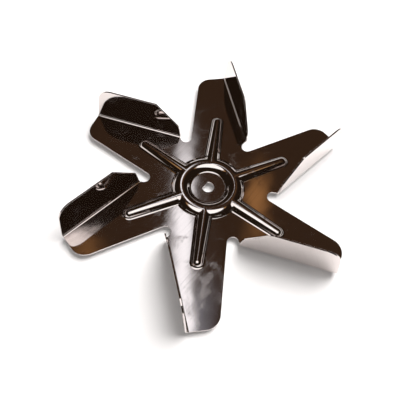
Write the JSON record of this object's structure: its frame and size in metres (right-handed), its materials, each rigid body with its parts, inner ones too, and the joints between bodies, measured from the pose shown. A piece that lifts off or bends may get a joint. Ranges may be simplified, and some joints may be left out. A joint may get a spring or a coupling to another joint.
{
  "type": "axial fan impeller",
  "caption": "Axial fan impeller stamped from one bright steel sheet: flat arms with blades folded square up along one edge, an embossed hub ring with stiffening ribs, and a flatted shaft bore.",
  "frame": {"origin": "on the fan axis, in the plane of the underside of the arms and of the hub seat", "axes": "+Z along the fan axis, towards the free edges of the blades; +Y along the arm that the flat of the bore faces"},
  "size_m": [0.1348, 0.1508, 0.0204],
  "materials": {
    "sheet_steel": "bright rolled sheet steel, nearly a mirror, with faint rolling lines and handling scuffs"
  },
  "bodies": {
    "root": {"impeller": "sheet_steel"}
  },
  "joints": []
}
